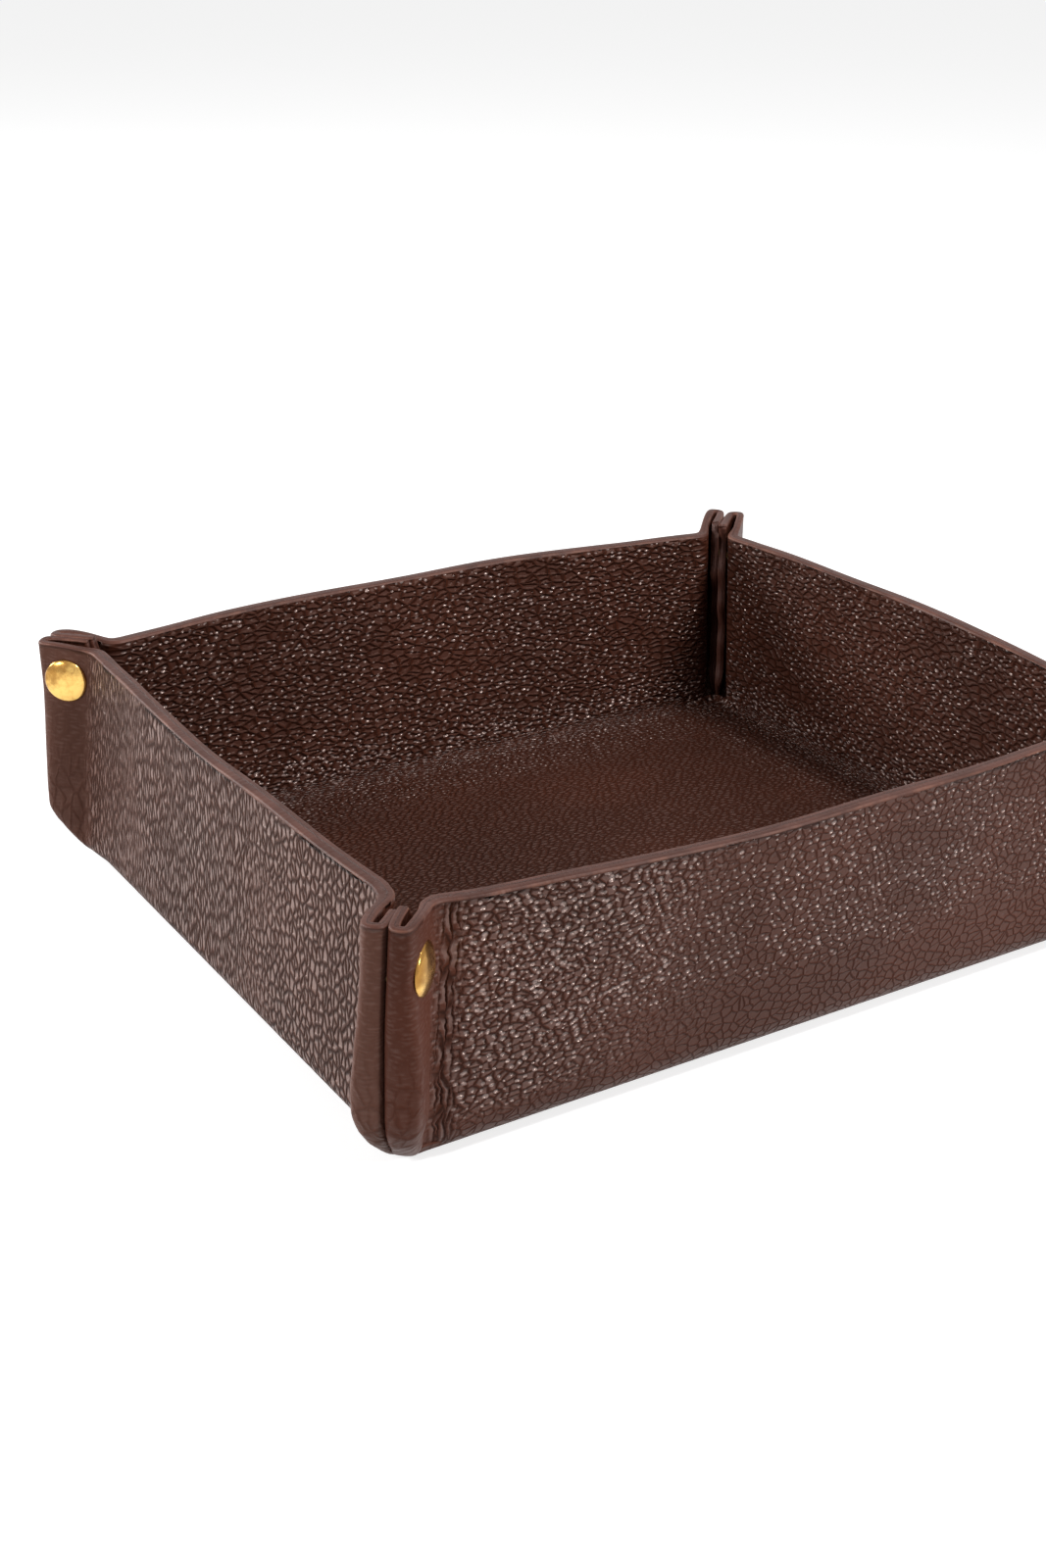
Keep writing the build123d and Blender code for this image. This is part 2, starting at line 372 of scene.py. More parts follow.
def ear_rows(z, crease, bow, ear, wave_sign, seed):
    """Outer and inner contour of an ear at one height, in (u, n)."""
    reach = float(np.interp(z, REACH_Z, REACH_S)) + ear["longer"] * float(smooth((z - 20) / 35.0))
    reach -= 1.8 * ear["foot_cut"] * float(smooth(z / 2.5) * smooth((15 - z) / 8.0))
    bulge = float(np.interp(z, BULGE_Z, BULGE_N)) * (1 + ear["bulge"])
    bulge -= ear["pinch"] * (1 - min(z / 15.0, 1.0)) ** 1.2
    leaf = float(np.interp(z, LEAF_Z, LEAF_S)) + ear["short_foot"] * float(smooth((42 - z) / 8.0))
    leaf += ear["short_top"] * float(smooth((z - 49.5) / 7.0))
    torn = 0.6 * math.sin(z / 4.7 + seed) + 0.35 * math.sin(z / 1.9 + 2 * seed)
    uneven = ear["ragged"] * torn * float(smooth(z / 10.0))
    uneven += 1.5 * (ear["ragged"] - 1) * float(smooth((16 - z) / 10.0))
    leaf += uneven
    leaf = min(leaf, 0.45 * reach)
    depth = DIAGONAL - EAR_GAP + wave_sign * WAVE * math.sin(z / 8.5 + 0.6)
    back = bend_in(z)
    u0, step = crease - SEAM, 2.6
    u2 = crease - 2.4
    n0, slope = bow_at(u0, z, crease, bow)
    n2, _ = bow_at(u2, z, crease, bow)
    small = min(1.0, reach / 7.0)
    out = np.array([DIAGONAL_SHARE, DIAGONAL_SHARE])
    deep = np.array([DIAGONAL_SHARE, -DIAGONAL_SHARE])
    corner = np.array([crease, -back * (1 - small * 0.8)])

    def at(s, d):
        """Point s out along the ear and d into its depth."""
        return corner + out * s + deep * d

    r = depth / 2
    control = np.array([
        [u0, n0 - back],
        [u0 + step, n0 - back + step * slope],
        [u2, n2 - back],
        [crease + 0.2, -back * (1 - 0.5 * small)],
        at(0.33 * reach, -bulge * 0.8),
        at(reach - 0.9 * r * small, -bulge),
        at(reach + 0.5 * small, 0.16 * depth - bulge),
        at(reach + 0.5 * small, 0.88 * depth),
        at(reach - 0.8 * r * small, depth),
        at(max(0.4 * reach, leaf + 0.3), depth),
        at(leaf, depth),
    ])
    outer = BASIS @ control
    along = np.gradient(outer, axis=0)
    along /= np.linalg.norm(along, axis=1, keepdims=True)
    inward = np.stack([along[:, 1], -along[:, 0]], 1)
    t = np.linspace(0, 1, EAR_SAMPLES)
    thick = LEATHER + (EAR_LEATHER - LEATHER) * smooth((t - 0.18) / 0.2)
    low = 0.35 + 0.65 * smooth((z - 3.0) / 9.0)
    thick = thick * (1 + (low - 1) * smooth((t - 0.2) / 0.2))
    inner = outer + inward * thick[:, None]
    return outer, inner


def ear_piece(wall, end, side, materials):
    """One ear: the wall's end, turned out along the diagonal and folded back on itself."""
    degrees, half, reach, bow, _, _ = WALLS[wall]
    crease = half - CREASE
    seed = degrees / 40.0 + side
    ear = EARS.get((wall, end), PLAIN_EAR)
    span = HEIGHT - LAST_ROW - EAR_FOOT
    low_z = EAR_FOOT + span * np.linspace(0, LOW_PART, LOW_ROWS)[:-1]
    levels = np.concatenate([low_z, EAR_FOOT + span * np.linspace(LOW_PART, 1, HIGH_ROWS)])
    t = np.linspace(0, 1, EAR_SAMPLES)
    rise_t = smooth((t - 0.22) / 0.3)
    top = HEIGHT + (ear["top"] - HEIGHT) * rise_t + 0.18 * np.sin(9 * t + seed) * rise_t
    outer, inner, runs, arcs = [], [], [], []
    for z in levels:
        o, i = ear_rows(z, crease, bow, ear, side, seed)
        share = (z - EAR_FOOT) / span
        height = z + (top - HEIGHT) * share
        along = np.gradient(o, axis=0)
        arcs.append(np.concatenate([[0], np.cumsum(np.linalg.norm(np.diff(o, axis=0), axis=1))]))
        along /= np.linalg.norm(along, axis=1, keepdims=True)
        out = np.stack([-along[:, 1], along[:, 0]], 1)
        crumple = 0.22 * np.sin(z / 2.1 + 5 * t + seed) * smooth((t - 0.25) / 0.1)
        crumple = crumple * smooth((0.62 - t) / 0.15) * smooth((30 - z) / 14.0) * smooth((z - 4) / 6.0)
        lump = 0.25 * np.sin(z / 7.0 + 8 * t + 2 * seed)
        lump = lump * smooth((t - 0.3) / 0.15) * smooth((0.62 - t) / 0.12)
        o = o + out * (crumple + lump * smooth((z - 5) / 8.0))[:, None]
        outer.append(np.column_stack([o, height]))
        inner.append(np.column_stack([i, height]))
        runs.append(np.full(EAR_SAMPLES, float(bend_run(np.array(z)))))
    o, i = ear_rows(HEIGHT, crease, bow, ear, side, seed)
    over, share = edge_steps(o, i, top[:, None], EAR_EDGE)
    columns = outer + over + inner[::-1]
    across = [0 * t] * len(outer) + share + [0 * t + 1] * len(inner)
    rise = runs + [runs[-1] + 1] * len(over) + runs[::-1]
    arc = arcs + [arcs[-1]] * len(over) + arcs[::-1]
    slots = [OUTSIDE] * len(outer) + [CUT] * (len(over) - 1) + [INSIDE] * (len(inner) + 1)
    grid, across, rise, arc = (np.stack(x, 1) for x in (columns, across, rise, arc))
    cols = grid.shape[1]
    points = turned(np.stack([side * grid[..., 0], -reach - grid[..., 1], grid[..., 2]], -1), degrees)
    pull = smooth((arc - 1.5) / 7.5)[..., None]
    points[..., :2] += pull * ear_move(ear, grid[..., 2:3])
    verts = lean(points).reshape(-1, 3)
    faces, face_slots = band(EAR_SAMPLES, cols, slots)
    last = (EAR_SAMPLES - 1) * cols
    for j in range(len(outer) + len(over) // 2):
        faces.append((last + j, last + j + 1, last + cols - 2 - j, last + cols - 1 - j))
        face_slots.append(CUT)
    if side < 0:
        faces = [f[::-1] for f in faces]
    u = side * (crease - SEAM + arc)
    vectors = sheet_vectors(degrees, reach, u, rise, np.round(across))
    numbers = {"across": across, "rise": rise, "ear": smooth((arc - 5.5) / 4.0)}
    name = f"{wall}_{end}_ear_leather"
    obj = build(name, verts, faces, face_slots, materials, numbers, vectors)
    start = turned([[side * (crease - CREASE_BEFORE), -reach, MID_Z]], degrees)[0] * MM
    stop = [[side * (crease + CREASE_AFTER), -reach - CREASE_OUT, MID_Z]]
    stop = turned(stop, degrees)[0] * MM
    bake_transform(obj)
    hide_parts(f"{wall}_{end}_skin", f"{wall}_{end}_lining")


def bend_points(radius, reach, angles):
    """Points on an arc of the base's bend: distance from its start, and height."""
    return [(reach - BEND + radius * math.sin(a), BEND - radius * math.cos(a)) for a in angles]


def base_piece(materials):
    """Base slab, and the four low rounded corners under the ears."""
    verts, faces, slots, rises, ears = [], [], [], [], []

    def add_grid(grid, rise, columns_slots, gaps, ear_shares, flip=False):
        start = len(verts)
        rows, cols = grid.shape[:2]
        verts.extend(lean(grid).reshape(-1, 3))
        rises.extend(np.array(rise).ravel())
        ears.extend(np.repeat([ear_shares], rows, 0).ravel())
        f, s = band(rows, cols, columns_slots, gaps)
        if flip:
            f = [x[::-1] for x in f]
        faces.extend([tuple(start + i for i in x) for x in f])
        slots.extend(s)

    half_x, half_y = LENGTH / 2 - STRIP, WIDTH / 2 - STRIP
    x = np.linspace(-half_x, half_x, BASE_STEPS[0])
    y = np.linspace(-half_y, half_y, BASE_STEPS[1])
    lower = np.stack([np.stack([x, 0 * x + v, 0 * x], -1) for v in y], 1)
    upper = np.stack([np.stack([x, 0 * x + v, 0 * x + LEATHER], -1) for v in y[::-1]], 1)
    edge = smooth((half_x - np.abs(upper[..., 0])) / 20) * smooth((half_y - np.abs(upper[..., 1])) / 20)
    wave = np.sin(upper[..., 0] / 21.0) * np.sin(upper[..., 1] / 26.0 + 1)
    upper[..., 2] += edge * FLOOR_WAVE * wave
    grid = np.concatenate([lower, upper], 1)
    inside = np.minimum(half_x - np.abs(grid[..., 0]), half_y - np.abs(grid[..., 1]))
    ends = [len(y) - 1, 2 * len(y) - 1]
    halves = [OUTSIDE] * len(y) + [INSIDE] * len(y)
    add_grid(grid, BEND - STRIP - inside, halves, ends, [0] * 2 * len(y))

    # Each row of a corner has an origin, a direction out, an inner start, a share of the crease's
    # distance to which it reaches, and the angle up to which it bends
    arc_steps = np.linspace(0, 1, 12)
    # A corner's outer leather draws in by tuck above tuck_z, clear of the ears' feet, and its
    # lining lies a little lower than an ear's
    tuck, tuck_z = 0.5, 1.2
    lining_drop = 0.04
    inner_r = BEND - LEATHER
    inset = STRIP - CREASE
    roundness = 3.4
    run = np.concatenate([np.linspace(SEAM + 0.6, inset, 3)[:-1], np.linspace(inset, 0, 6)[:-1]])
    turn = np.radians(np.linspace(0, 90, 21))
    lift_at_ends, full_lift = np.radians(34), np.radians(62)
    lifts = lift_at_ends + (full_lift - lift_at_ends) * smooth(1 - run / run[0])
    rows = [((-r, 0.0), (0.0, 1.0), min(inset, r), 1.0, a) for r, a in zip(run, lifts)]
    for a in turn:
        size = (math.sin(a) ** roundness + math.cos(a) ** roundness) ** (-1 / roundness)
        rows.append(((0.0, 0.0), (math.sin(a), math.cos(a)), 0.0, size, full_lift))
    rows += [((0.0, -r), (1.0, 0.0), min(inset, r), 1.0, a) for r, a in zip(run[::-1], lifts[::-1])]
    for sx in (-1, 1):
        for sy in (-1, 1):
            cx, cy = sx * (LENGTH / 2 - CREASE), sy * (WIDTH / 2 - CREASE)
            loops, rise = [], []
            for (ox, oy), (dx, dy), start, size, lift in rows:
                reach = CREASE * size
                arc = lift * arc_steps
                out = [(-start, 0.0)] + bend_points(BEND, reach, arc)
                inn = bend_points(inner_r, reach, arc[::-1]) + [(-start, LEATHER)]
                loop = []
                for k, (r, z) in enumerate(out + inn):
                    if k < len(out) and z > tuck_z:
                        r -= tuck * float(smooth((z - tuck_z) / tuck_z))
                    if k >= len(out):
                        z -= lining_drop
                    loop.append((cx + sx * (ox + dx * r), cy + sy * (oy + dy * r), z))
                loops.append(loop)
                steps = [0.0] + [BEND * a for a in arc]
                rise.append([s - 0.1 for s in steps] + steps[::-1])
            grid = np.array(loops)
            n = len(loops[0])
            halves = [OUTSIDE] * (n // 2) + [INSIDE] * (n - n // 2)
            on_ear = [int(half == OUTSIDE) for half in halves]
            add_grid(grid, rise, halves, [n - 1], on_ear, flip=(sx * sy > 0))
    verts = np.array(verts)
    side_shift = (verts[:, 2] > LEATHER / 2 + 0.1) * SIDE_GAP
    plan = np.column_stack([verts[:, :2], side_shift])
    numbers = {"across": 0 * side_shift, "rise": np.array(rises), "ear": np.array(ears)}
    obj = build("base_leather", verts, faces, slots, materials, numbers, {"plan": plan, "along": plan})
    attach(obj, "base")
    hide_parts("base_skin", "base_lining")


class Nodes:
    """Short way to write a material's nodes."""

    def __init__(self, name):
        self.material = bpy.data.materials.new(name)
        self.material.use_nodes = True
        self.tree = self.material.node_tree
        self.shader = self.tree.nodes["Principled BSDF"]

    def node(self, kind, **settings):
        item = self.tree.nodes.new(kind)
        for key, value in settings.items():
            setattr(item, key, value)
        return item

    def set(self, socket, value):
        if isinstance(value, bpy.types.NodeSocket):
            self.tree.links.new(value, socket)
        else:
            socket.default_value = value

    def math(self, operation, a, b=None):
        item = self.node("ShaderNodeMath", operation=operation)
        self.set(item.inputs[0], a)
        if b is not None:
            self.set(item.inputs[1], b)
        return item.outputs[0]

    def add(self, a, b):
        return self.math("ADD", a, b)

    def times(self, a, b):
        return self.math("MULTIPLY", a, b)

    def less(self, a):
        """One minus a."""
        return self.math("SUBTRACT", 1.0, a)

    def mix(self, share, a, b):
        """Number between a and b."""
        item = self.node("ShaderNodeMix", data_type="FLOAT")
        for socket, value in zip(item.inputs[:1] + item.inputs[2:4], (share, a, b)):
            self.set(socket, value)
        return item.outputs[0]

    def colour(self, share, a, b):
        item = self.node("ShaderNodeMix", data_type="RGBA")
        for index, value in ((0, share), (6, a), (7, b)):
            self.set(item.inputs[index], value if not isinstance(value, tuple) else (*value, 1.0))
        return item.outputs[2]

    def value(self, name):
        return self.node("ShaderNodeAttribute", attribute_name=name).outputs["Fac"]

    def vector(self, name):
        return self.node("ShaderNodeAttribute", attribute_name=name).outputs["Vector"]

    def split(self, vector):
        item = self.node("ShaderNodeSeparateXYZ")
        self.set(item.inputs[0], vector)
        return item.outputs

    def scaled(self, vector, scale, turn=0.0):
        item = self.node("ShaderNodeMapping")
        self.set(item.inputs["Vector"], vector)
        item.inputs["Rotation"].default_value = (0, 0, turn)
        item.inputs["Scale"].default_value = scale
        return item.outputs[0]

    def noise(self, vector, scale, detail=2.0, rough=0.5):
        item = self.node("ShaderNodeTexNoise")
        self.set(item.inputs["Vector"], vector)
        for key, value in (("Scale", scale), ("Detail", detail), ("Roughness", rough)):
            item.inputs[key].default_value = value
        return item.outputs

    def ramp(self, value, low, high):
        """0 at low, 1 at high, smooth between."""
        item = self.node("ShaderNodeMapRange", interpolation_type="SMOOTHSTEP")
        self.set(item.inputs[0], value)
        item.inputs[1].default_value = low
        item.inputs[2].default_value = high
        return item.outputs[0]

    def warp(self, vector, scale, amount):
        """Vector pushed about by noise."""
        centred = self.node("ShaderNodeVectorMath", operation="SUBTRACT")
        self.set(centred.inputs[0], self.noise(vector, scale)[1])
        centred.inputs[1].default_value = (0.5, 0.5, 0.5)
        total = self.node("ShaderNodeVectorMath", operation="MULTIPLY_ADD")
        self.set(total.inputs[0], centred.outputs[0])
        total.inputs[1].default_value = (amount, amount, 0.0)
        self.set(total.inputs[2], vector)
        return total.outputs[0]

    def voronoi(self, feature, vector, size, stretch, turn, spread):
        item = self.node("ShaderNodeTexVoronoi", feature=feature, voronoi_dimensions="2D")
        scale = (1.0 / stretch[0], 1.0 / stretch[1], 1.0)
        self.set(item.inputs["Vector"], self.scaled(vector, scale, turn))
        item.inputs["Scale"].default_value = 1.0 / size
        item.inputs["Randomness"].default_value = spread
        return item.outputs[0]

    def cells(self, vector, size, stretch, turn=0.0, wave=0.7):
        """Distance to the nearest edge between cells, in cell sizes."""
        warped = self.warp(vector, 0.30 / size, size * wave)
        warped = self.warp(warped, 1.1 / size, size * wave * 0.35)
        return self.voronoi("DISTANCE_TO_EDGE", warped, size, stretch, turn, 0.95)

    def beads(self, vector, size, stretch, turn=0.0, radius=0.34):
        """Height over a small bead in every cell, 1 at its middle; the beads vary in size."""
        warped = self.warp(vector, 0.14 / size, size * 1.8)
        distance = self.voronoi("F1", warped, size, stretch, turn, 0.52)
        uneven = self.times(self.math("SUBTRACT", self.noise(vector, 0.55 / size)[0], 0.45), 0.55)
        return self.less(self.ramp(self.add(distance, uneven), 0.0, radius))

    def bump(self, height, distance):
        item = self.node("ShaderNodeBump")
        item.inputs["Distance"].default_value = distance
        self.set(item.inputs["Height"], height)
        return item.outputs[0]


# Colours of a leather from its tone: lighter patches, and the painted highlight on its glossy bead
# tops; and its warm sheen
PATCH_GAIN = 1.3
BEAD_HIGHLIGHT_GAIN, BEAD_HIGHLIGHT_GREY = 2.4, 0.14
SHEEN_IOR = 1.7
SHEEN_TINT = (1.0, 0.80, 0.71, 1.0)


class Leather(Nodes):
    """Grained leather, built up from layers of cells."""

    def __init__(self, name):
        super().__init__(name)
        self.along = self.vector("along")
        self.plan = self.vector("plan")
        self.rise = self.times(self.value("rise"), MM)
        self.u = self.split(self.along)[0]
        self.height = 0.0
        self.groove_shade = 0.0
        self.gloss = 0.0

    def bead_layer(self, share, bead, depth, gloss):
        """Shiny beads standing on what is there, where share is 1."""
        bead = self.times(share, bead)
        self.height = self.add(self.height, self.times(bead, depth))
        self.groove_shade = self.times(self.groove_shade, self.less(self.ramp(bead, 0.1, 0.5)))
        self.gloss = self.math("MAXIMUM", self.gloss, self.times(self.ramp(bead, 0.15, 0.8), gloss))

    def layer(self, share, cell, dome, depth, gloss, line=0.14):
        """Cells over what is there, where share is 1; line is the width of the dark lines of painted
        shade between.
        """
        top = self.ramp(cell, 0.0, dome)
        cut = self.less(self.ramp(cell, 0.0, line))
        self.height = self.mix(share, self.height, self.times(top, depth))
        self.groove_shade = self.mix(share, self.groove_shade, self.times(cut, min(1.0, depth * 1.3)))
        self.gloss = self.mix(share, self.gloss, self.times(self.ramp(cell, 0.35 * dome, dome), gloss))

    def finish(self, tone, painted_darkening, rough, distance):
        """Colour, gloss and relief from the layers; the colour carries painted highlight on the bead
        tops and painted shade in the grooves.
        """
        micro = self.noise(self.along, 2100.0, 3.0, 0.65)[0]
        self.height = self.add(self.height, self.times(micro, 0.08))
        drift = self.ramp(self.noise(self.plan, 26.0, 3.0)[0], 0.36, 0.66)
        light = tuple(PATCH_GAIN * c for c in tone)
        # Bead tops are painted lighter where the gloss mask is high: a painted highlight
        patina_and_highlight = tuple(BEAD_HIGHLIGHT_GAIN * c + BEAD_HIGHLIGHT_GREY for c in tone)
        base = self.colour(drift, tone, light)
        base = self.colour(self.times(self.gloss, 0.8), base, patina_and_highlight)
        # Lines between the cells are painted dark: painted shade in the grooves
        base = self.colour(self.times(self.groove_shade, 0.8), base, painted_darkening)
        self.set(self.shader.inputs["Base Color"], base)
        spots = self.times(self.math("SUBTRACT", micro, 0.5), 0.2)
        roughness = self.add(self.mix(self.gloss, rough, 0.24), spots)
        self.set(self.shader.inputs["Roughness"], self.add(roughness, self.times(self.groove_shade, 0.2)))
        self.shader.inputs["IOR"].default_value = SHEEN_IOR
        self.set(self.shader.inputs["Specular IOR Level"], self.mix(self.gloss, 0.06, 1.0))
        self.shader.inputs["Specular Tint"].default_value = SHEEN_TINT
        self.set(self.shader.inputs["Normal"], self.bump(self.height, distance))
        return self.material


# Leather colours, and the colours of the painted shade in the lines between their cells
TONE = (0.060, 0.0190, 0.0115)
GROOVE_SHADE = (0.014, 0.005, 0.0035)
# The left wall's leather is painted lighter than the front's: painted sheen of the side light falling
# on that wall
LIT_TONE_LEFT = (0.088, 0.038, 0.027)
GROOVE_SHADE_LEFT = (0.020, 0.009, 0.007)
# The lining's tone is darker and redder than the outside's: partly its own colour, partly painted shade
# of the tray's inside
SHADED_TONE_INSIDE = (0.041, 0.0115, 0.0060)
GROOVE_SHADE_INSIDE = (0.012, 0.004, 0.0025)


def ear_layers(n):
    """Smooth ear with fine wrinkles across the folded edge."""
    ear = n.value("ear")
    wrinkles = n.cells(n.along, 0.0014, (2.8, 0.7), wave=1.0)
    n.layer(n.times(ear, 0.97), wrinkles, dome=0.45, depth=0.05, gloss=0.06)
    cracks = n.cells(n.along, 0.0032, (0.8, 1.7), wave=1.3)
    low = n.times(n.times(ear, 0.5), n.less(n.ramp(n.rise, 0.020, 0.040)))
    n.layer(low, cracks, dome=0.22, depth=0.30, gloss=0.06, line=0.07)


def front_leather():
    """Bold pebbles by the left crease, finer cracked grain to the right and below."""
    n = Leather("front_grain")
    ground = n.cells(n.along, 0.0019, (1.3, 1.0), turn=0.25, wave=1.2)
    n.layer(1.0, ground, dome=0.20, depth=0.35, gloss=0.08, line=0.09)
    drift = n.times(n.math("SUBTRACT", n.noise(n.plan, 42.0)[0], 0.5), 0.05)
    place = n.add(n.add(n.u, drift), n.times(n.rise, -0.35))
    upper = n.ramp(n.add(n.rise, n.times(drift, 0.35)), 0.016, 0.030)
    bold = n.times(n.less(n.ramp(place, -0.078, -0.030)), n.ramp(n.rise, 0.008, 0.015))
    pebbles = n.cells(n.along, 0.0016, (1.4, 0.95), turn=0.1)
    n.layer(bold, pebbles, dome=0.30, depth=0.6, gloss=0.2, line=0.12)
    patches = n.ramp(n.noise(n.scaled(n.along, (1.0, 2.4, 1.0), 0.45), 40.0, 2.0)[0], 0.34, 0.50)
    scattered = n.times(upper, patches)
    beads = n.beads(n.along, 0.0018, (1.3, 1.0), turn=-0.35, radius=0.36)
    n.bead_layer(scattered, beads, depth=0.9, gloss=1.0)
    beads = n.beads(n.along, 0.0018, (1.25, 1.0), turn=-0.40, radius=0.40)
    n.bead_layer(bold, beads, depth=0.9, gloss=1.0)
    crease = n.less(n.ramp(n.add(n.u, n.times(drift, 0.05)), -0.0895, -0.0855))
    folds = n.cells(n.along, 0.0015, (0.7, 5.0), wave=1.3)
    n.layer(n.times(crease, n.less(n.value("ear"))), folds, dome=0.42, depth=1.1, gloss=0.3)
    ear_layers(n)
    return n.finish(TONE, GROOVE_SHADE, rough=0.46, distance=0.00055)


def left_leather():
    """Fine wavy ridges at the back end, turning into tall cells and then pebbles."""
    n = Leather("left_grain")
    ridges = n.cells(n.along, 0.00110, (0.95, 4.2), turn=0.12, wave=1.5)
    n.layer(1.0, ridges, dome=0.42, depth=0.9, gloss=0.34, line=0.28)
    drift = n.times(n.math("SUBTRACT", n.noise(n.plan, 40.0)[0], 0.5), 0.06)
    place = n.add(n.u, drift)
    tall = n.cells(n.along, 0.0015, (0.9, 3.0), turn=-0.10, wave=1.3)
    n.layer(n.ramp(place, -0.062, -0.035), tall, dome=0.38, depth=1.0, gloss=0.36, line=0.26)
    pebbles = n.cells(n.along, 0.0017, (1.0, 1.8), turn=0.2, wave=1.1)
    n.layer(n.ramp(place, 0.005, 0.035), pebbles, dome=0.38, depth=1.0, gloss=0.36, line=0.22)
    ear_layers(n)
    return n.finish(LIT_TONE_LEFT, GROOVE_SHADE_LEFT, rough=0.44, distance=0.00075)


def plain_leather():
    """Even pebbles with beads, for the outer faces that the photograph doesn't show."""
    n = Leather("far_grain")
    pebbles = n.cells(n.along, 0.0021, (1.3, 1.0), turn=0.2)
    n.layer(1.0, pebbles, dome=0.20, depth=0.4, gloss=0.12, line=0.10)
    upper = n.ramp(n.rise, 0.010, 0.024)
    n.bead_layer(upper, n.beads(n.along, 0.0014, (1.5, 1.0)), depth=0.6, gloss=0.9)
    ear_layers(n)
    return n.finish(TONE, GROOVE_SHADE, rough=0.46, distance=0.00052)


def lining_leather():
    """Rows of small beads on the walls, flatter cells towards the middle of the floor."""
    n = Leather("lining_grain")
    flatter = n.cells(n.plan, 0.0013, (1.7, 0.9), turn=0.5, wave=1.1)
    n.layer(1.0, flatter, dome=0.40, depth=0.60, gloss=0.12)
    rim = n.ramp(n.rise, -0.030, -0.006)
    n.bead_layer(rim, n.beads(n.plan, 0.0017, (1.2, 1.1)), depth=0.6, gloss=0.8)
    rows = n.cells(n.along, 0.0019, (1.9, 0.9), turn=0.10, wave=1.0)
    wall = n.ramp(n.rise, 0.001, 0.009)
    n.layer(wall, rows, dome=0.30, depth=0.80, gloss=0.05, line=0.10)
    patches = n.ramp(n.noise(n.scaled(n.along, (1.0, 2.2, 1.0)), 48.0, 2.0)[0], 0.32, 0.50)
    scattered = n.times(wall, patches)
    beads = n.beads(n.along, 0.0017, (1.5, 1.0), turn=-0.35, radius=0.36)
    n.bead_layer(scattered, beads, depth=0.9, gloss=1.0)
    bend = n.times(n.ramp(n.rise, -0.006, 0.001), n.less(n.ramp(n.rise, 0.012, 0.022)))
    beads = n.beads(n.along, 0.0017, (1.6, 0.9), turn=-0.30, radius=0.42)
    n.bead_layer(bend, beads, depth=1.0, gloss=1.0)
    on_ear = n.times(n.value("ear"), 0.9)
    n.layer(on_ear, n.cells(n.along, 0.0016, (1.0, 2.0)), dome=0.4, depth=0.20, gloss=0.05)
    return n.finish(SHADED_TONE_INSIDE, GROOVE_SHADE_INSIDE, rough=0.44, distance=0.00055)


# Cut edge: two tones of its paint, the line between the two leathers, and the painted highlight along
# its rounded sides
EDGE_TONE = (0.050, 0.016, 0.010)
EDGE_LIGHT = (0.080, 0.029, 0.020)
EDGE_LINE = (0.030, 0.010, 0.007)
EDGE_HIGHLIGHT = (0.185, 0.078, 0.052)


def edge_leather():
    """Painted cut edge: smooth, redder, with pale lines of painted highlight along both sides."""
    n = Nodes("cut_edge")
    along = n.vector("along")
    wobble = n.times(n.math("SUBTRACT", n.noise(along, 160.0, 3.0)[0], 0.5), 0.14)
    share = n.add(n.value("across"), wobble)
    side = n.times(n.math("ABSOLUTE", n.math("SUBTRACT", share, 0.5)), 2.0)
    streak = n.ramp(n.noise(n.scaled(along, (0.35, 1.0, 1.0)), 420.0, 4.0, 0.6)[0], 0.35, 0.7)
    middle = n.less(n.ramp(n.math("ABSOLUTE", n.math("SUBTRACT", share, 0.55)), 0.0, 0.06))
    body = n.colour(n.ramp(n.noise(along, 90.0, 3.0)[0], 0.35, 0.65), EDGE_TONE, EDGE_LIGHT)
    body = n.colour(n.times(middle, 0.45), body, EDGE_LINE)
    # Pale streaks along both rounded sides of the edge: a painted highlight
    body = n.colour(n.times(n.times(n.ramp(side, 0.66, 0.92), streak), 0.75), body, EDGE_HIGHLIGHT)
    n.set(n.shader.inputs["Base Color"], body)
    n.shader.inputs["Roughness"].default_value = 0.48
    n.shader.inputs["Specular IOR Level"].default_value = 0.2
    height = n.add(n.noise(along, 800.0, 3.0)[0], n.times(middle, -0.8))
    n.set(n.shader.inputs["Normal"], n.bump(height, 0.00016))
    return n.material


def brass(name, tone, rough, dark_reflection=0.0):
    """Polished brass with patina, fine scratches and, on one side of a cap, a painted dark reflection.
    """
    n = Nodes(name)
    place = n.node("ShaderNodeTexCoord").outputs["Object"]
    patina = n.ramp(n.noise(place, 320.0, 4.0, 0.62)[0], 0.42, 0.72)
    # The cap's upper side is painted dark brown: a painted reflection of dark surroundings
    across, up, _ = n.split(n.vector("on_cap"))
    slope = n.add(n.times(across, -120.0), n.times(up, 150.0))
    cloud = n.times(n.math("SUBTRACT", n.noise(place, 520.0, 5.0, 0.6)[0], 0.5), 1.6)
    painted_darkening = n.times(n.ramp(n.add(slope, cloud), -0.15, 0.75), dark_reflection)
    patina_and_highlight = tuple(c * k for c, k in zip(tone, (0.62, 0.50, 0.40)))
    reflection_brown = tuple(c * k for c, k in zip(tone, (0.28, 0.19, 0.12)))
    body = n.colour(n.times(patina, 0.6), tone, patina_and_highlight)
    n.set(n.shader.inputs["Base Color"], n.colour(painted_darkening, body, reflection_brown))
    n.shader.inputs["Metallic"].default_value = 1.0
    n.set(n.shader.inputs["Roughness"], n.add(rough, n.times(patina, 0.14)))
    scratch = n.noise(n.scaled(place, (900.0, 900.0, 5200.0)), 1.0, 3.0)[0]
    n.set(n.shader.inputs["Normal"], n.bump(scratch, 0.000012))
    return n.material


front_grain = front_leather()
left_grain = left_leather()
far_grain = plain_leather()
lining_grain = lining_leather()
cut_edge = edge_leather()
